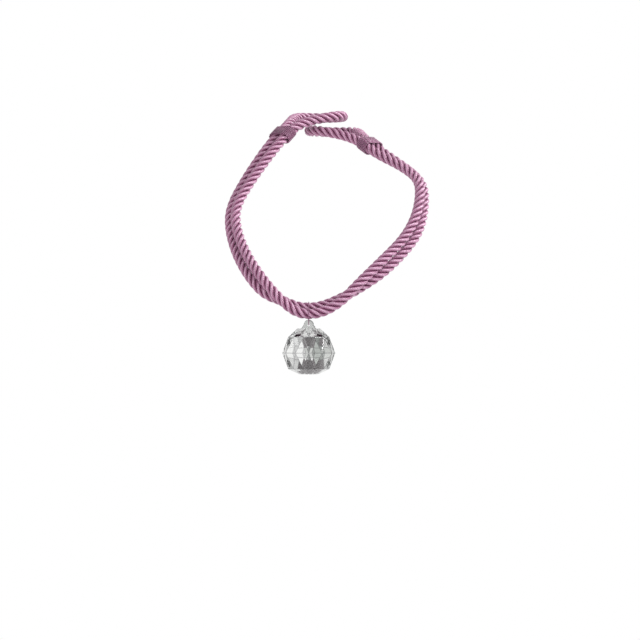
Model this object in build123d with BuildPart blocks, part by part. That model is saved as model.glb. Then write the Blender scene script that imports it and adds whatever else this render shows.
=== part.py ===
from build123d import *

import os
from math import atan2, cos, degrees, pi, radians, sin, tan

# A curtain tieback: one twisted rope, joined into a loop and doubled. The fold at each end is an eye for a
# wall hook, and a cut-glass ball hangs on a thread at the lowest point. Millimetres, +Z up, +X to the right
# of someone who faces the tieback from -Y. The origin is between the two eyes, on the hook's upright peg.

# Rope
rope_diameter = 6.0
joint_gap = 0.5             # between the rope's two cut ends, inside the left binding
bend_share = 0.45           # the part of a free run that the bend at its end takes up

# Thread bindings round both runs of the rope, at the neck of each eye
binding_length = 9.0
binding_wall = 1.0
binding_clearance = 0.15
binding_edge = 0.4

# Hanging thread, which goes round both runs and through the lug of the ball
thread_diameter = 0.8
thread_clearance = 0.1      # between the thread and the rope
thread_bend = 1.0           # radius of the thread's turn where it leaves the lug
hole_drop = 6.2             # from the middle of the front run down to the hole of the lug

# Cut-glass ball with its lug
ball_radius = 15.0          # over the corners at the girdle
facets_per_row = 12
ring_latitude = 37.0        # of the rings of corners above and below the girdle, in degrees
crown_height = 13.8         # flat table at the top, above the middle of the ball
crown_table_radius = 6.3
base_height = 12.0          # flat table at the bottom, below the middle of the ball
base_table_radius = 5.4
hole_rise = 2.0             # from the table at the top up to the hole of the lug
hole_clearance = 0.3        # between the thread and the hole
lug_radius = 2.9
lug_foot_width = 8.6
lug_foot_depth = 1.5        # how far the lug runs down into the ball
lug_thickness = 3.2
lug_edge = 0.5
lug_side_clearance = 0.3    # between the faces of the lug and the thread's turns

# The rope's route, chosen by hand. Both runs go from the left eye, round the front, to the right eye.
# The inner run lies in front of the outer one at the lowest point, where the thread ties them together.
inner_run = [
    (-16.8, -25.1, -0.8), (-29.0, -39.7, -14.8), (-43.0, -51.5, -34.5), (-52.5, -62.0, -51.0),
    (-51.5, -72.5, -64.5), (-45.5, -84.0, -79.0), (-36.5, -94.0, -92.5), (-26.0, -101.0, -104.5),
    (-16.0, -102.5, -112.5), (-4.0, -102.5, -112.5), (8.0, -101.5, -106.0), (20.0, -98.0, -93.5),
    (33.0, -91.0, -81.0), (44.0, -82.0, -70.0), (51.0, -73.0, -58.0), (54.0, -64.0, -45.5),
    (53.5, -56.0, -35.0), (45.0, -48.0, -27.5), (29.0, -39.7, -19.2), (16.8, -25.1, -9.2),
]
outer_run = [
    (-21.8, -20.9, -0.8), (-34.0, -35.4, -14.8), (-47.5, -44.5, -35.5), (-55.5, -54.0, -51.5),
    (-55.5, -65.0, -64.5), (-51.2, -77.5, -79.3), (-43.5, -87.5, -92.6), (-34.0, -92.5, -103.0),
    (-23.5, -94.5, -105.5), (-15.5, -97.0, -109.0), (-4.5, -97.0, -109.0), (8.0, -95.0, -104.0),
    (18.0, -92.0, -98.5), (31.7, -88.0, -89.7), (44.2, -79.5, -78.2), (52.3, -70.0, -65.0),
    (55.4, -59.6, -50.9), (56.2, -50.6, -38.0), (49.2, -42.3, -30.0), (34.0, -35.4, -19.2),
    (21.8, -20.9, -9.2),
]
left_eye = [
    (-18.9, 2.8, 4.2), (-7.6, 10.1, 4.2), (5.5, 6.5, 4.2), (11.3, -5.7, 4.2), (6.1, -18.1, 4.2),
]
right_eye = [
    (-6.1, -18.1, -4.2), (-11.3, -5.7, -4.2), (-5.5, 6.5, -4.2), (7.6, 10.1, -4.2), (18.9, 2.8, -4.2),
]

# At each neck both runs are straight and side by side, between two points of each run.
left_neck = (inner_run[:2], outer_run[:2])
right_neck = (inner_run[:-3:-1], outer_run[:-3:-1])
neck_points = [point for neck in (left_neck, right_neck) for run in neck for point in run]

# At the lowest point both runs are level, between two points of each run.
front_level = inner_run[8:10]
back_level = outer_run[9:11]


def middle(points):
    """The point halfway between two points."""
    first, second = points
    return (Vector(first) + Vector(second)) * 0.5


def bend_room(start, end):
    """The length of a run that may bend: all of it, less what a binding holds straight."""
    held = binding_length if start in neck_points and end in neck_points else 0
    return (Vector(end) - Vector(start)).length - held


# Rope: one length, from its joint in the left binding once round the loop and back to the joint
rope_loop = inner_run + right_eye + outer_run[::-1] + left_eye
bend_radii = []
for before, corner, after in zip(rope_loop[-1:] + rope_loop, rope_loop, rope_loop[1:] + rope_loop[:1]):
    turn = (Vector(corner) - Vector(before)).get_angle(Vector(after) - Vector(corner))
    bend = bend_share * min(bend_room(before, corner), bend_room(corner, after))
    bend_radii.append(bend / tan(radians(turn / 2)))

joint = middle(rope_loop[:2])
half_gap = (Vector(rope_loop[1]) - Vector(rope_loop[0])).normalized() * (joint_gap / 2)
route_points = [joint + half_gap] + rope_loop[1:] + rope_loop[:1] + [joint - half_gap]

with BuildPart() as rope:
    with BuildLine():
        rope_line = FilletPolyline(*route_points, radius=bend_radii[1:] + bend_radii[:1])
    with BuildSketch(Plane(origin=rope_line @ 0, z_dir=rope_line % 0)):
        Circle(rope_diameter / 2)
    sweep()
rope.part.label = "rope"

section_area = pi * rope_diameter**2 / 4
print("bend radii, mm:", [round(radius, 1) for radius in bend_radii])
print("rope length, mm:", round(rope_line.length, 1))
print("volume over section times length:", round(rope.part.volume / (section_area * rope_line.length), 5))

# Hanging thread: drawn taut round both runs and through the lug, so its line is their convex outline
front_middle = middle(front_level)
back_middle = middle(back_level)
ball_x = front_middle.X
lug_y = (front_middle.Y + back_middle.Y) / 2
hole_z = front_middle.Z - hole_drop
turn_z = hole_z + thread_bend
turn_offset = lug_thickness / 2 + lug_side_clearance

with BuildSketch(Plane.YZ.offset(ball_x)) as thread_outline:
    with Locations((front_middle.Y, front_middle.Z), (back_middle.Y, back_middle.Z)):
        Circle(rope_diameter / 2 + thread_clearance + thread_diameter / 2)
    with Locations((lug_y - turn_offset, turn_z), (lug_y + turn_offset, turn_z)):
        Circle(thread_bend)
    make_hull()
thread_edges = thread_outline.sketch.face().outer_wire().order_edges()

with BuildPart() as hanging_thread:
    for half_route in (Wire(thread_edges[:4]), Wire(thread_edges[4:])):
        with BuildSketch(Plane(origin=half_route @ 0, z_dir=half_route % 0)):
            Circle(thread_diameter / 2)
        sweep(path=half_route)
hanging_thread.part.label = "hanging_thread"

# Cut-glass ball: each row of facets is a tapered prism, and half a ball is what its rows have in common
half_step = 180 / facets_per_row
girdle_flat = ball_radius * cos(radians(half_step))
ring_radius = ball_radius * cos(radians(ring_latitude))
ring_height = ball_radius * sin(radians(ring_latitude))
ring_flat = ring_radius * cos(radians(half_step))


def slant(low_radius, low_height, high_radius, high_height):
    """How far a row of facets leans in from upright, in degrees, through two points of its outline."""
    return degrees(atan2(low_radius - high_radius, high_height - low_height))


def faceted_half(table_height, table_radius):
    """Half of the ball, from the girdle up to a flat table."""
    rising = slant(girdle_flat, 0, ring_radius, ring_height)
    hanging = slant(ball_radius, 0, ring_flat, ring_height)
    closing = slant(ring_flat, ring_height, table_radius, table_height)
    closing_foot = ring_flat + ring_height * tan(radians(closing))
    with BuildPart() as half:
        # Triangles that stand on the edges of the girdle
        with BuildSketch():
            RegularPolygon(girdle_flat, facets_per_row, major_radius=False)
        extrude(amount=table_height, taper=rising)
        # Triangles that hang from the edges of the ring and end in the corners of the girdle
        with BuildSketch():
            RegularPolygon(ball_radius, facets_per_row, major_radius=False, rotation=half_step)
        extrude(amount=table_height, taper=hanging, mode=Mode.INTERSECT)
        # Facets that close the ball from the ring to the table
        with BuildSketch():
            RegularPolygon(closing_foot, facets_per_row, major_radius=False, rotation=half_step)
        extrude(amount=table_height, taper=closing, mode=Mode.INTERSECT)
    return half.part


upper_half = faceted_half(crown_height, crown_table_radius)
lower_half = faceted_half(base_height, base_table_radius)
hole_height = crown_height + hole_rise
ball_centre = Vector(ball_x, lug_y, hole_z - hole_height)
lug_plane = Plane(origin=ball_centre, x_dir=(1, 0, 0), z_dir=(0, -1, 0))
hole_radius = thread_diameter / 2 + hole_clearance

with BuildPart() as crystal_ball:
    with Locations(ball_centre):
        add(upper_half)
        add(lower_half, rotation=(180, 0, 0))
    with BuildSketch(lug_plane):
        with Locations((0, hole_height)):
            Circle(lug_radius)
        with BuildLine():
            Polyline(
                (-lug_radius, hole_height),
                (lug_radius, hole_height),
                (lug_foot_width / 2, crown_height),
                (lug_foot_width / 2, crown_height - lug_foot_depth),
                (-lug_foot_width / 2, crown_height - lug_foot_depth),
                (-lug_foot_width / 2, crown_height),
                close=True,
            )
        make_face()
    extrude(amount=lug_thickness / 2, both=True)
    lug_faces = crystal_ball.faces().filter_by(Axis.Y)
    table_edges = crystal_ball.faces().filter_by(Axis.Z).sort_by(Axis.Z)[-1].edges()
    lug_rim = ShapeList(edge for face in lug_faces for edge in face.edges() if edge not in table_edges)
    fillet(lug_rim, lug_edge)
    with BuildSketch(lug_plane):
        with Locations((0, hole_height)):
            Circle(hole_radius)
    extrude(amount=lug_thickness, both=True, mode=Mode.SUBTRACT)
crystal_ball.part.label = "crystal_ball"

os.makedirs("parts", exist_ok=True)
for piece in (rope, hanging_thread, crystal_ball):
    export_step(piece.part, f"parts/{piece.part.label}.step")

# Bindings: thread wound round both runs at each neck
binding_bore = rope_diameter + 2 * binding_clearance
for name, (inner_neck, outer_neck) in (("left_binding", left_neck), ("right_binding", right_neck)):
    inner_middle = middle(inner_neck)
    outer_middle = middle(outer_neck)
    across = outer_middle - inner_middle
    along = Vector(inner_neck[1]) - Vector(inner_neck[0])
    neck_plane = Plane(origin=(inner_middle + outer_middle) * 0.5, x_dir=across, z_dir=along)
    with BuildPart() as binding:
        with BuildSketch(neck_plane):
            SlotCenterToCenter(across.length, binding_bore + 2 * binding_wall)
            SlotCenterToCenter(across.length, binding_bore, mode=Mode.SUBTRACT)
        extrude(amount=binding_length / 2, both=True)
        ends = binding.faces().filter_by(Axis(neck_plane.origin, neck_plane.z_dir))
        fillet(ShapeList(edge for end in ends for edge in end.outer_wire().edges()), binding_edge)
    binding.part.label = name
    export_step(binding.part, f"parts/{name}.step")
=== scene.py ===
# %% [markdown]
# # A beaded tieback
#
# This tieback is a shiny mauve rope, joined into a loop and doubled, so that two runs of rope lie side by
# side. The fold at each end is an eye that it hangs by, and a cut-glass ball hangs at the lowest point.
# The engineering model is loaded first, as a frame that stays fixed: everything below is dressed around
# it, in the same place and at the same size, in metres.

# %% Load the frame
import math
import random

import bmesh
import bpy
from mathutils import Matrix, Vector


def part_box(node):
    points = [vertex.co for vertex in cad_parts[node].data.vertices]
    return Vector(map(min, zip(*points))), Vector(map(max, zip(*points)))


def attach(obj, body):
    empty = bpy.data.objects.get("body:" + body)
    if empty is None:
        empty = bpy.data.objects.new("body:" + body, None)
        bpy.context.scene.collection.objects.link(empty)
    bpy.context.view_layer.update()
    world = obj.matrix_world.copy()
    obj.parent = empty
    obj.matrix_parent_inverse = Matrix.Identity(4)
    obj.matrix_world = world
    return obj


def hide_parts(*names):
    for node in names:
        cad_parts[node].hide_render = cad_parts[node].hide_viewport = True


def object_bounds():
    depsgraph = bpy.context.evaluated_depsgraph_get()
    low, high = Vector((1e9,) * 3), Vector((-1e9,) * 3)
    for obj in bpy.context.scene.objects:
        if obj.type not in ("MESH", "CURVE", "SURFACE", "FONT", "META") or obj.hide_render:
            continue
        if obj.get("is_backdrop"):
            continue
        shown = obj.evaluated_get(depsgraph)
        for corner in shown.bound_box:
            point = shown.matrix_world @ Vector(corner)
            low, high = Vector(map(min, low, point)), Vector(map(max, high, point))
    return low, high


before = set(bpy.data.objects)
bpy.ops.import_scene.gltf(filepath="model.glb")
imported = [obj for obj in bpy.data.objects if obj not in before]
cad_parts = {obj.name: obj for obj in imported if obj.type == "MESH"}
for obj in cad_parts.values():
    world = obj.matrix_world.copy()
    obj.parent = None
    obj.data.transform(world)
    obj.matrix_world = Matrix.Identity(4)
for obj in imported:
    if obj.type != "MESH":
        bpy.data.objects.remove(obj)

cad_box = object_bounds()
scene = bpy.context.scene
scene.view_settings.view_transform = "Standard"
print("nodes in the frame:", sorted(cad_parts))

# %% [markdown]
# ## The camera
#
# The tieback is looked at straight on, from two metres away with a long lens, as in a catalogue. A long lens
# flattens the view, so the near and far sides of the loop keep almost the same scale. The lens follows from
# two plain facts: how far away the camera stands, and how wide a strip it should see at that distance.

# %% Place the camera
view_centre = Vector((-0.00367, -0.1, -0.11592))
viewing_distance = 2.0
view_width = 0.361

camera = bpy.data.objects.new("camera", bpy.data.cameras.new("camera"))
camera.data.lens = camera.data.sensor_width * viewing_distance / view_width
camera.location = view_centre + Vector((0, -viewing_distance, 0))
camera.rotation_euler = (math.radians(90), 0, 0)
scene.collection.objects.link(camera)
scene.camera = camera
print("lens, mm:", round(camera.data.lens, 1))

# %% [markdown]
# ## The rope's route
#
# The rope is one length. It starts in the left binding, where its two cut ends meet, runs round the front on
# the inside of the pair, turns in the right eye, comes back on the outside of the pair, turns in the left
# eye and ends where it began. The points below are the corners of that route. They could be joined by
# straight runs and arcs, but a limp rope has no straight runs, so they become the control points of a NURBS
# spline, which passes smoothly by each of them.

# %% Draw the route
inner_run = [
    (-0.0168, -0.0251, -0.0008), (-0.0290, -0.0397, -0.0148), (-0.0430, -0.0515, -0.0345),
    (-0.0525, -0.0620, -0.0510), (-0.0515, -0.0725, -0.0645), (-0.0455, -0.0840, -0.0790),
    (-0.0365, -0.0940, -0.0925), (-0.0260, -0.1010, -0.1045), (-0.0160, -0.1025, -0.1125),
    (-0.0040, -0.1025, -0.1125), (0.0080, -0.1015, -0.1060), (0.0200, -0.0980, -0.0935),
    (0.0330, -0.0910, -0.0810), (0.0440, -0.0820, -0.0700), (0.0510, -0.0730, -0.0580),
    (0.0540, -0.0640, -0.0455), (0.0535, -0.0560, -0.0350), (0.0450, -0.0480, -0.0275),
    (0.0290, -0.0397, -0.0192), (0.0168, -0.0251, -0.0092),
]
outer_run = [
    (-0.0218, -0.0209, -0.0008), (-0.0340, -0.0354, -0.0148), (-0.0475, -0.0445, -0.0355),
    (-0.0555, -0.0540, -0.0515), (-0.0555, -0.0650, -0.0645), (-0.0509, -0.0778, -0.0795),
    (-0.0433, -0.0881, -0.0923), (-0.0351, -0.0918, -0.1015), (-0.0235, -0.0945, -0.1055),
    (-0.0155, -0.0970, -0.1090), (-0.0045, -0.0970, -0.1090), (0.0080, -0.0950, -0.1040),
    (0.0197, -0.0919, -0.0974), (0.0327, -0.0898, -0.0888), (0.0454, -0.0801, -0.0762),
    (0.0532, -0.0719, -0.0652), (0.0565, -0.0604, -0.0507), (0.0562, -0.0506, -0.0380),
    (0.0492, -0.0423, -0.0300), (0.0340, -0.0354, -0.0192), (0.0218, -0.0209, -0.0092),
]
left_eye = [
    (-0.0189, 0.0028, 0.0042), (-0.0076, 0.0101, 0.0042), (0.0055, 0.0065, 0.0042),
    (0.0113, -0.0057, 0.0042), (0.0061, -0.0181, 0.0042),
]
right_eye = [
    (-0.0061, -0.0181, -0.0042), (-0.0113, -0.0057, -0.0042), (-0.0055, 0.0065, -0.0042),
    (0.0076, 0.0101, -0.0042), (0.0189, 0.0028, -0.0042),
]
joint_gap = 0.0005
line_resolution = 18
spline_order = 3


def smooth_line(route, closed=False):
    """Points along the NURBS spline that has a route's points as its control points."""
    curve = bpy.data.curves.new("route", "CURVE")
    curve.dimensions = "3D"
    curve.resolution_u = line_resolution
    spline = curve.splines.new("NURBS")
    spline.points.add(len(route) - 1)
    for control, place in zip(spline.points, route):
        control.co = (*place, 1)
    spline.use_cyclic_u = closed
    spline.order_u = spline_order
    spline.use_endpoint_u = not closed
    holder = bpy.data.objects.new("route", curve)
    line = bpy.data.meshes.new_from_object(holder)
    points = [vertex.co.copy() for vertex in line.vertices]
    bpy.data.objects.remove(holder)
    bpy.data.curves.remove(curve)
    bpy.data.meshes.remove(line)
    return points


def line_length(points):
    """The length of a line of points."""
    return sum((after - before).length for before, after in zip(points, points[1:]))


first, second = Vector(inner_run[0]), Vector(inner_run[1])
half_gap = (second - first).normalized() * joint_gap / 2
joint = (first + second) / 2
rope_route = [
    joint + half_gap, *inner_run[1:], *right_eye, *outer_run[::-1], *left_eye, first, joint - half_gap,
]
rope_line = smooth_line(rope_route)
print("rope length, mm:", round(line_length(rope_line) * 1000, 1), "from", len(rope_line), "points")

# %% [markdown]
# ## Laying the strands
#
# A twisted rope is strands that wind round each other like the thread of a screw. Each strand is a round
# tube along a helix about the rope's middle. To know where "beside the middle" is, every point of the line
# needs two directions at right angles to it. They are carried along from point to point and turned only as
# much as the line itself turns, so the strands get no twist but their own.

# %% Wind strands about a line
def side_directions(points, closed=False):
    """Two directions at right angles to a line, at each of its points."""
    befores = [points[-1] if closed else points[0]] + points[:-1]
    afters = points[1:] + [points[0] if closed else points[-1]]
    tangents = [(after - before).normalized() for before, after in zip(befores, afters)]
    side = tangents[0].orthogonal().normalized()
    sides = []
    for before, tangent in zip([tangents[0]] + tangents, tangents):
        side = before.rotation_difference(tangent) @ side
        sides.append((side.copy(), tangent.cross(side)))
    return sides


def strand_line(points, sides, distance, turns, start):
    """A helix about a line: so far from it, with so many turns in all, from a start angle in radians."""
    length = line_length(points)
    travelled = 0
    places = []
    for before, point, (side, other) in zip([points[0]] + points, points, sides):
        travelled += (point - before).length
        angle = start + 2 * math.pi * turns * travelled / length
        places.append(point + (side * math.cos(angle) + other * math.sin(angle)) * distance)
    return places


tube_roundness = 4


def tube_mesh(points, radius, closed=False):
    """A round tube along a line of points, as a mesh with a UV map."""
    curve = bpy.data.curves.new("tube", "CURVE")
    curve.dimensions = "3D"
    curve.bevel_depth = radius
    curve.bevel_resolution = tube_roundness
    spline = curve.splines.new("POLY")
    spline.points.add(len(points) - 1)
    for control, place in zip(spline.points, points):
        control.co = (*place, 1)
    spline.use_cyclic_u = closed
    holder = bpy.data.objects.new("tube", curve)
    mesh = bpy.data.meshes.new_from_object(holder)
    bpy.data.objects.remove(holder)
    bpy.data.curves.remove(curve)
    return mesh


def twisted_piece(name, points, diameter, radius, count, turns, closed=False, core=0):
    """A rope or thread of twisted strands, with a height attribute that is 1 on the crests."""
    distance = diameter / 2 - radius
    sides = side_directions(points, closed)
    starts = [2 * math.pi * number / count for number in range(count)]
    tubes = [(strand_line(points, sides, distance, turns, start), radius) for start in starts]
    if core:
        tubes.append((points, core))
    shape = bmesh.new()
    for line, thickness in tubes:
        mesh = tube_mesh(line, thickness, closed)
        ring = len(mesh.vertices) // len(points)
        height = mesh.attributes.new("height", "FLOAT", "POINT")
        for vertex, value in zip(mesh.vertices, height.data):
            value.value = (vertex.co - points[vertex.index // ring]).length / (diameter / 2)
        shape.from_mesh(mesh)
        bpy.data.meshes.remove(mesh)
    open_edges = [edge for edge in shape.edges if edge.is_boundary]
    bmesh.ops.holes_fill(shape, edges=open_edges, sides=0)
    bmesh.ops.recalc_face_normals(shape, faces=shape.faces)
    for face in shape.faces:
        face.smooth = True
    whole = bpy.data.meshes.new(name)
    shape.to_mesh(whole)
    shape.free()
    piece = bpy.data.objects.new(name, whole)
    scene.collection.objects.link(piece)
    print(name, "faces:", len(whole.polygons))
    return piece


rope_diameter = 0.006
strand_count = 4
strand_radius = 0.00104
strand_distance = rope_diameter / 2 - strand_radius
core_radius = 0.0012
rope_lay = 0.01695
rope_turns = line_length(rope_line) / rope_lay
rope = twisted_piece(
    "twisted_rope", rope_line, rope_diameter, strand_radius, strand_count, rope_turns, core=core_radius,
)
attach(rope, "rope_loop")
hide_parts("rope")

# %% [markdown]
# ## The bindings
#
# At the neck of each eye a thread is wound tightly round both runs, turn against turn. Its outline across
# the pair is a slot: two half circles joined by straight stretches. A point that goes round a circle, moved
# out to the rope on its own side, draws that slot, and a steady step along the neck makes it a winding.

# %% Wind the bindings
binding_length = 0.009
binding_thread = 0.001
binding_clearance = 0.00015
points_per_turn = 28
twists_per_turn = 9
winding_turns = round(binding_length / binding_thread) - 1
ply_count = 2
ply_share = 0.28


def wound_binding(name, inner_neck, outer_neck):
    """A close winding of thread round the two runs of rope at a neck."""
    inner_middle = (Vector(inner_neck[0]) + Vector(inner_neck[1])) / 2
    outer_middle = (Vector(outer_neck[0]) + Vector(outer_neck[1])) / 2
    middle = (inner_middle + outer_middle) / 2
    along = (Vector(inner_neck[1]) - Vector(inner_neck[0])).normalized()
    reach = outer_middle - middle
    across = reach.normalized()
    upright = along.cross(across)
    radius = rope_diameter / 2 + binding_clearance + binding_thread / 2
    places = []
    for step in range(winding_turns * points_per_turn + 1):
        # The half step keeps every point clear of the places where the thread changes sides.
        turn = (step + 0.5) / points_per_turn
        angle = 2 * math.pi * turn
        run = reach if math.cos(angle) > 0 else -reach
        place = middle + run + (across * math.cos(angle) + upright * math.sin(angle)) * radius
        places.append(place + along * (turn - winding_turns / 2) * binding_thread)
    binding = twisted_piece(
        name, places, binding_thread, binding_thread * ply_share, ply_count, winding_turns * twists_per_turn,
    )
    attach(binding, "rope_loop")
    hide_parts(name.replace("wound_", ""))
    return binding


left_binding = wound_binding("wound_left_binding", inner_run[:2], outer_run[:2])
right_binding = wound_binding("wound_right_binding", inner_run[:-3:-1], outer_run[:-3:-1])

# %% [markdown]
# ## The hanging thread
#
# A loop of the same thread goes round both runs at the lowest point and through the hole of the glass ball's
# lug, and the weight of the ball pulls it taut. Its route is a closed one in a plane across the rope.

# %% Loop the hanging thread
thread_diameter = 0.0006
thread_lay = 0.0025
thread_x = (inner_run[8][0] + inner_run[9][0]) / 2
thread_route = [
    (thread_x, -0.0997, -0.1187), (thread_x, -0.1021, -0.1187), (thread_x, -0.1062, -0.1136),
    (thread_x, -0.1057, -0.1104), (thread_x, -0.0974, -0.1055), (thread_x, -0.0947, -0.1063),
    (thread_x, -0.0935, -0.1090), (thread_x, -0.0973, -0.1187),
]
thread_line = smooth_line(thread_route, closed=True)
thread_turns = round(line_length(thread_line) / thread_lay)
thread = twisted_piece(
    "twisted_thread", thread_line, thread_diameter, thread_diameter * ply_share, ply_count, thread_turns,
    closed=True,
)
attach(thread, "rope_loop")
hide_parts("hanging_thread")

# %% [markdown]
# ## Colours and nodes
#
# Colours are written as they look on a screen, in hexadecimal, and the renderer wants them as amounts of
# light, so one function turns one into the other. A second small function adds a shader node with its
# settings, its links and any colour stops, which keeps each material to a short list of what it is made of.

# %% Helpers for materials
def light_amounts(hexadecimal):
    """A screen colour, such as "#b0879d", as linear red, green, blue and a full alpha."""
    parts = [int(hexadecimal[place:place + 2], 16) / 255 for place in (1, 3, 5)]
    linear = [part / 12.92 if part <= 0.04045 else ((part + 0.055) / 1.055) ** 2.4 for part in parts]
    return (*linear, 1)


def add_node(tree, kind, settings=None, inputs=None, stops=()):
    """A shader node with its settings, its inputs as values or linked outputs, and any colour stops."""
    node = tree.nodes.new(kind)
    for name, value in (settings or {}).items():
        setattr(node, name, value)
    for name, value in (inputs or {}).items():
        if isinstance(value, bpy.types.NodeSocket):
            tree.links.new(value, node.inputs[name])
        else:
            node.inputs[name].default_value = value
    for number, (place, colour) in enumerate(stops):
        elements = node.color_ramp.elements
        element = elements[number] if number < len(elements) else elements.new(place)
        element.position = place
        element.color = light_amounts(colour)
    return node


def new_material(name):
    """An empty node material and its output node."""
    material = bpy.data.materials.new(name)
    material.use_nodes = True
    material.node_tree.nodes.clear()
    return material, material.node_tree.nodes.new("ShaderNodeOutputMaterial")


# %% [markdown]
# ## Viscose rope yarn
#
# The rope is spun from viscose, a bright smooth filament. Each strand is a bundle of yarns that lie nearly
# side by side, which gives a satin gloss: a pale line along the crest and a fast fall to plum in the groove,
# where the light is caught between the strands. Both are painted into the colour: the pale crest line is a
# painted highlight and the plum groove is painted shade. The height attribute that the winding stored tells
# the crest from the groove. Yarns and filaments are drawn on the strand's own UV map, which goes round it
# and along it, with painted shade where two yarns meet, and the gloss is stretched round the strand, as on
# any surface of parallel filaments.

# %% Make the rope's material
def filament_yarn(name, stops, around_mm, along_mm, yarn_count, yarn_lay_mm):
    """Filament yarn, coloured by height, with painted shade in the grooves and a painted highlight on the
    crests.
    Its UV map stands for so many millimetres round and along.
    """
    material, output = new_material(name)
    tree = material.node_tree
    height = add_node(tree, "ShaderNodeAttribute", {"attribute_name": "height"})
    # The height stops paint shade into the grooves and a highlight along the crests.
    colours = add_node(tree, "ShaderNodeValToRGB", inputs={"Fac": height.outputs["Fac"]}, stops=stops)
    uv = add_node(tree, "ShaderNodeUVMap", {"uv_map": "UVMap"})

    # Real filaments are about 0.02 mm thick, far too fine to show, so they are drawn as streaks of 0.5 mm.
    streak_width_mm = 0.5
    streak_length_mm = 8.0
    stretch = (around_mm / streak_width_mm, along_mm / streak_length_mm, 1)
    streaks = add_node(tree, "ShaderNodeMapping", inputs={"Vector": uv.outputs["UV"], "Scale": stretch})
    noise = add_node(
        tree, "ShaderNodeTexNoise", {"noise_dimensions": "2D"},
        {"Vector": streaks.outputs["Vector"], "Scale": 1.0, "Detail": 2.0},
    )
    dulling = add_node(
        tree, "ShaderNodeValToRGB", inputs={"Fac": noise.outputs["Fac"]},
        stops=[(0.3, "#b8b8b8"), (0.7, "#ffffff")],
    )
    streaky = add_node(
        tree, "ShaderNodeMix", {"data_type": "RGBA", "blend_type": "MULTIPLY"},
        {0: 1.0, 6: colours.outputs["Color"], 7: dulling.outputs["Color"]},
    )

    # The swell of a yarn goes from 0 in the seam between two yarns to 0.5 along the middle of a yarn.
    yarn_turns = along_mm / yarn_lay_mm
    phase = add_node(
        tree, "ShaderNodeVectorMath", {"operation": "DOT_PRODUCT"},
        {0: uv.outputs["UV"], 1: (yarn_count, yarn_count * yarn_turns, 0)},
    )
    swell = add_node(tree, "ShaderNodeMath", {"operation": "PINGPONG"}, {0: phase.outputs["Value"], 1: 0.5})
    # Painted shade: the colour is darkened where two yarns meet. The same swell also makes a real bump
    # below.
    seam_shade = add_node(
        tree, "ShaderNodeValToRGB", inputs={"Fac": swell.outputs["Value"]},
        stops=[(0.0, "#b795aa"), (0.25, "#ffffff")],
    )
    seam_shaded_colour = add_node(
        tree, "ShaderNodeMix", {"data_type": "RGBA", "blend_type": "MULTIPLY"},
        {0: 1.0, 6: streaky.outputs[2], 7: seam_shade.outputs["Color"]},
    )
    bump = add_node(
        tree, "ShaderNodeBump",
        inputs={"Height": swell.outputs["Value"], "Strength": 0.3, "Distance": 0.0002},
    )
    round_strand = add_node(tree, "ShaderNodeTangent", {"direction_type": "UV_MAP", "uv_map": "UVMap"})
    shader = add_node(
        tree, "ShaderNodeBsdfPrincipled",
        inputs={
            "Base Color": seam_shaded_colour.outputs[2], "Normal": bump.outputs["Normal"],
            "Roughness": 0.35, "Specular IOR Level": 0.7,
            "Anisotropic": 0.8, "Tangent": round_strand.outputs["Tangent"],
            "Sheen Weight": 0.25, "Sheen Roughness": 0.4, "Sheen Tint": light_amounts("#ffd9ef"),
        },
    )
    tree.links.new(shader.outputs["BSDF"], output.inputs["Surface"])
    return material


# From groove to crest: the plum stops are painted shade, and the pale top stop is a painted highlight.
mauve_shade_and_highlight_stops = [(0.6, "#883765"), (0.8, "#a56089"), (0.955, "#b6769b"), (0.99, "#dcaecb")]
strand_round_mm = 2 * math.pi * strand_radius * 1000
strand_length_mm = math.hypot(1, 2 * math.pi * strand_distance / rope_lay) * line_length(rope_line) * 1000
rope_yarn = filament_yarn(
    "viscose_rope_yarn", mauve_shade_and_highlight_stops, strand_round_mm, strand_length_mm, yarn_count=5, yarn_lay_mm=60,
)
rope.data.materials.append(rope_yarn)
print("strand length, mm:", round(strand_length_mm))

# %% [markdown]
# ## Sewing thread
#
# The bindings and the hanging thread are of polyester sewing thread, dyed a little darker than the rope. It
# is made the same way on a smaller scale, so it gets the same material with its own colours and sizes: the
# same painted shade in the grooves and painted highlight on the crests.

# %% Make the thread's material
# The darkest plum is painted shade in the grooves, and the pale top stop is a painted highlight on the
# crests.
plum_shade_and_highlight_stops = [(0.6, "#5a2448"), (0.8, "#96557f"), (0.955, "#a9688f"), (0.99, "#cf9dbb")]
ply_round_mm = 2 * math.pi * binding_thread * ply_share * 1000
turn_length_mm = 36
winding_length_mm = winding_turns * turn_length_mm
thread_yarn = filament_yarn(
    "polyester_sewing_thread", plum_shade_and_highlight_stops, ply_round_mm, winding_length_mm, yarn_count=3, yarn_lay_mm=24,
)
for piece in (left_binding, right_binding, thread):
    piece.data.materials.append(thread_yarn)
print("thread material on:", left_binding.name, right_binding.name, thread.name)

# %% [markdown]
# ## The glass ball
#
# The ball is pressed from clear glass and its facets are polished. The engineering model already has each
# facet as a true plane. Real facets never meet in a perfect edge, so a copy of that mesh is merged, its
# triangles are joined into whole facets and every edge gets a tiny bevel that catches the light. The facets
# come in rows that lean by different amounts, and each face keeps a tone for its row: 1 is clear, 0 is dark.
# That tone is painted light and shade with a small random spread: some rows are painted darker than clear,
# and the bevels darkest, as painted shade along the edges.

# %% Bevel the facets
merge_distance = 1e-6
flat_angle = math.radians(0.5)
ball_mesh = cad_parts["crystal_ball"].data.copy()
ball_mesh.name = "cut_glass_ball"
shape = bmesh.new()
shape.from_mesh(ball_mesh)
bmesh.ops.remove_doubles(shape, verts=shape.verts, dist=merge_distance)
bmesh.ops.dissolve_limit(shape, angle_limit=flat_angle, verts=shape.verts, edges=shape.edges)

facet_bevel = 0.00022
facet_angle = math.radians(8)
lug_height = 0.0049
lowest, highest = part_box("crystal_ball")
table_height = highest.z - lug_height
facet_edges = [
    edge for edge in shape.edges
    if edge.calc_face_angle() > facet_angle and max(vertex.co.z for vertex in edge.verts) < table_height
]

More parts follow.
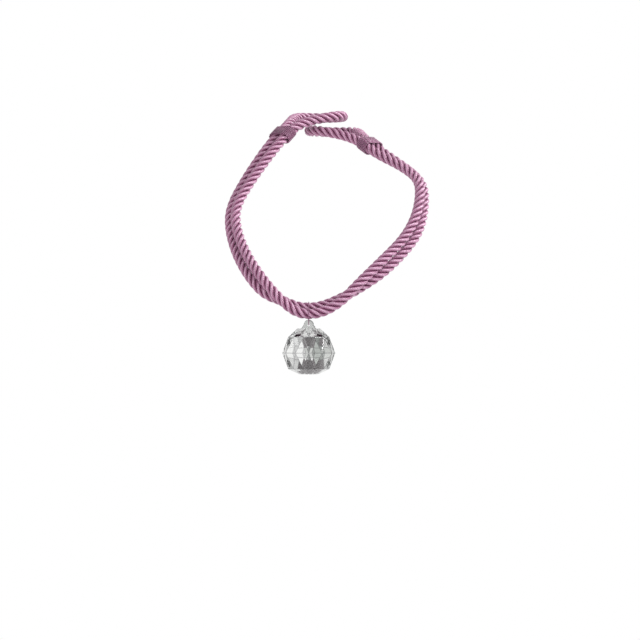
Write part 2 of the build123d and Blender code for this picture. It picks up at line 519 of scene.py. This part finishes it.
# A facet that stands on the girdle leans least, and one that hangs from a ring leans more.
girdle_lean, ring_lean = 0.31, 0.5
# These values paint light and shade: girdle rows stay clear, while ring rows, the table and the lug are
# painted darker.
girdle_tone, ring_painted_shade, table_painted_shade = 1.0, 0.4, 0.5
edge_painted_shade = 0.0
tone_spread = 0.2
tone_seed = 7
# Each face stores its painted light and shade here, with a small random spread.
painted_shade_and_random_tone = shape.faces.layers.float.new("painted_shade_and_random_tone")
draw = random.Random(tone_seed)
for face in shape.faces:
    face.smooth = False
    lean = abs(face.normal.z)
    on_lug = face.calc_center_median().z > table_height + facet_bevel
    if on_lug or lean > ring_lean:
        row_light_and_shade = table_painted_shade
    elif lean < girdle_lean:
        row_light_and_shade = girdle_tone
    else:
        row_light_and_shade = ring_painted_shade
    face[painted_shade_and_random_tone] = row_light_and_shade + draw.uniform(-tone_spread, 0.0)
bevel = bmesh.ops.bevel(
    shape, geom=facet_edges, offset=facet_bevel, offset_type="OFFSET", affect="EDGES", segments=2,
    profile=0.5, material=-1,
)
# The bevels get the darkest value: painted shade along every facet edge.
for face in bevel["faces"]:
    face[painted_shade_and_random_tone] = edge_painted_shade
shape.to_mesh(ball_mesh)
shape.free()
ball = bpy.data.objects.new("cut_glass_ball", ball_mesh)
scene.collection.objects.link(ball)
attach(ball, "ball")
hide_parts("crystal_ball")
print("ball faces:", len(ball_mesh.polygons), "bevelled edges:", len(facet_edges))

# %% [markdown]
# ## Cut crystal glass
#
# Clear glass could be one flat setting, but then every facet would be equally bright. In cut glass some rows
# send light to the eye and others send it elsewhere, so the rows take turns of light and dark, and the edges
# are darkest. Here that light and shade is painted: the tone of each face tints the light that goes through
# it, grey for the darker rows and darkest on the bevels.

# %% Make the glass
cut_glass, output = new_material("cut_crystal_glass")
tree = cut_glass.node_tree
stored_painted_shade = add_node(tree, "ShaderNodeAttribute", {"attribute_name": "painted_shade_and_random_tone"})
# Painted shade in clear glass: grey for the darker rows, darkest on the bevels, near white for clear rows.
tint = add_node(
    tree, "ShaderNodeValToRGB", inputs={"Fac": stored_painted_shade.outputs["Fac"]},
    stops=[(0.0, "#868587"), (0.25, "#a9aaa9"), (0.4, "#b4b5b4"), (1.0, "#fcfdfb")],
)
shader = add_node(
    tree, "ShaderNodeBsdfPrincipled",
    inputs={"Base Color": tint.outputs["Color"], "Roughness": 0.01, "IOR": 1.55, "Transmission Weight": 1.0},
)
tree.links.new(shader.outputs["BSDF"], output.inputs["Surface"])
ball.data.materials.clear()
ball.data.materials.append(cut_glass)
print("glass on:", ball.name)

# %% [markdown]
# ## Floor and background
#
# The tieback hangs free, so a pale floor lies well below it and fades to plain white further out. The
# background is white for the camera, for reflections and for what the glass shows. For plain shading it is
# only half as strong, so that the lamps can give the rope its light and dark sides.

# %% Lay the floor
floor_drop = 0.3
floor_radius = 6.0
floor_sides = 96
floor_mesh = bpy.data.meshes.new("floor")
shape = bmesh.new()
bmesh.ops.create_circle(shape, cap_ends=True, segments=floor_sides, radius=floor_radius)
bmesh.ops.translate(shape, verts=shape.verts, vec=(0, 0, cad_box[0][2] - floor_drop))
shape.to_mesh(floor_mesh)
shape.free()
floor = bpy.data.objects.new("floor", floor_mesh)
scene.collection.objects.link(floor)
floor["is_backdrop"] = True

fade_start = 0.6
fade_end = 1.6
floor_paint, output = new_material("white_studio_floor")
tree = floor_paint.node_tree
place = add_node(tree, "ShaderNodeTexCoord")
away = add_node(tree, "ShaderNodeVectorMath", {"operation": "LENGTH"}, {0: place.outputs["Object"]})
fade = add_node(
    tree, "ShaderNodeMapRange",
    inputs={"Value": away.outputs["Value"], "From Min": fade_start, "From Max": fade_end},
)
matt = add_node(tree, "ShaderNodeBsdfDiffuse", inputs={"Color": light_amounts("#f4f4f4")})
white = add_node(tree, "ShaderNodeEmission", inputs={"Strength": 1.0})
surface = add_node(
    tree, "ShaderNodeMixShader",
    inputs={0: fade.outputs["Result"], 1: matt.outputs["BSDF"], 2: white.outputs["Emission"]},
)
tree.links.new(surface.outputs["Shader"], output.inputs["Surface"])
floor_mesh.materials.append(floor_paint)
print("floor height, mm:", round(floor_mesh.vertices[0].co.z * 1000))

# %% Whiten the background
shading_strength = 0.5
world = bpy.data.worlds.new("studio")
scene.world = world
world.use_nodes = True
tree = world.node_tree
tree.nodes.clear()
ray = add_node(tree, "ShaderNodeLightPath")
seen = add_node(
    tree, "ShaderNodeMath", {"operation": "MAXIMUM"},
    {0: ray.outputs["Is Camera Ray"], 1: ray.outputs["Is Transmission Ray"]},
)
seen_or_mirrored = add_node(
    tree, "ShaderNodeMath", {"operation": "MAXIMUM"},
    {0: seen.outputs["Value"], 1: ray.outputs["Is Glossy Ray"]},
)
strength = add_node(
    tree, "ShaderNodeMapRange",
    inputs={"Value": seen_or_mirrored.outputs["Value"], "To Min": shading_strength, "To Max": 1.0},
)
sky = add_node(
    tree, "ShaderNodeBackground",
    inputs={"Color": light_amounts("#ffffff"), "Strength": strength.outputs["Result"]},
)
add_node(tree, "ShaderNodeOutputWorld", inputs={"Surface": sky.outputs["Background"]})
print("background:", world.name)

# %% [markdown]
# ## Cards for the glass
#
# Clear glass shows what stands round it, bent and upside down, and in an all-white room it would all but
# vanish. Photographers of glass stand grey cards beside it. These cards are curved strips about the ball,
# each given by its left and right ends, from straight behind the ball, and its lower and upper edges, in
# degrees. They are there three times over, so that each side of the ball has some. Only rays that pass
# through the glass meet them, and they neither light the rope nor shade it.

# %% Stand the cards
card_distance = 0.4
card_sets = 3
steps_per_card = 6
ball_middle = (lowest + highest) / 2


def studio_cards(name, shade, spans):
    """Curved cards of one grey about the ball."""
    mesh = bpy.data.meshes.new(name)
    shape = bmesh.new()
    for number in range(card_sets):
        for left, right, low, high in spans:
            foot, head = [
                shape.verts.new(ball_middle + Vector((0, 1, math.tan(math.radians(height)))) * card_distance)
                for height in (low, high)
            ]
            upright = shape.edges.new((foot, head))
            turn = Matrix.Rotation(-math.radians(left + 360 / card_sets * number), 3, "Z")
            bmesh.ops.rotate(shape, verts=[foot, head], cent=ball_middle, matrix=turn)
            bmesh.ops.spin(
                shape, geom=[foot, head, upright], cent=ball_middle, axis=(0, 0, -1),
                angle=math.radians(right - left), steps=steps_per_card,
            )
    shape.to_mesh(mesh)
    shape.free()
    cards = bpy.data.objects.new(name, mesh)
    scene.collection.objects.link(cards)
    cards.visible_camera = False
    cards.visible_diffuse = False
    cards.visible_glossy = False
    cards.visible_shadow = False
    cards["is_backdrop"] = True
    material, output = new_material(name)
    tree = material.node_tree
    glow = add_node(tree, "ShaderNodeEmission", inputs={"Color": light_amounts(shade), "Strength": 1.0})
    tree.links.new(glow.outputs["Emission"], output.inputs["Surface"])
    mesh.materials.append(material)
    print(name, "faces:", len(mesh.polygons))


studio_cards("pale_grey_cards", "#d2d4d2", [(-3, 4, -3, 6), (-50, -30, -12, 19)])
studio_cards("mid_grey_cards", "#b6bab7", [(-30, -12, -38, 19), (-12, -3, -12, 19)])
studio_cards("dark_grey_cards", "#8d878a", [(-48, -30, -38, -12), (-12, 10, -38, -12), (-42, 25, 19, 36)])

# %% [markdown]
# ## Lamps
#
# The main lamp stands high on the right, so the strands keep a bright side and a dark one. It is wide,
# because a small lamp burns out the rims of the strands that are turned to it, and it stands where the
# facets in front hardly mirror it. A weaker lamp in front, from the left, opens the grooves on that side.
# A lamp that shows through the ball would burn its facets out to white, and part of its outline would be
# lost against the background, so rays that pass through the glass don't meet the lamps.

# %% Hang the lamps
def soft_lamp(name, place, width, power):
    """A square lamp that faces the middle of the view, with its width in metres and its power in watts."""
    lamp = bpy.data.objects.new(name, bpy.data.lights.new(name, "AREA"))
    lamp.data.size = width
    lamp.data.energy = power
    lamp.location = place
    lamp.rotation_euler = (view_centre - Vector(place)).to_track_quat("-Z", "Y").to_euler()
    lamp.visible_transmission = False
    scene.collection.objects.link(lamp)
    print(name, "watts:", power)


soft_lamp("main_lamp", (1.4, -0.1, 0.93), width=0.9, power=42)
soft_lamp("fill_lamp", (-0.4, -1.7, 0.2), width=1.0, power=12)

# %% [markdown]
# ## The sizes at the end
#
# The looks must keep to the size of the engineering model, so both boxes are printed side by side.

# %% Print the sizes and finish
boxes = {"cad": [list(corner) for corner in cad_box], "visual": [list(corner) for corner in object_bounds()]}
for name, corners in boxes.items():
    print(name, "box, mm:", [[round(value * 1000, 2) for value in corner] for corner in corners])
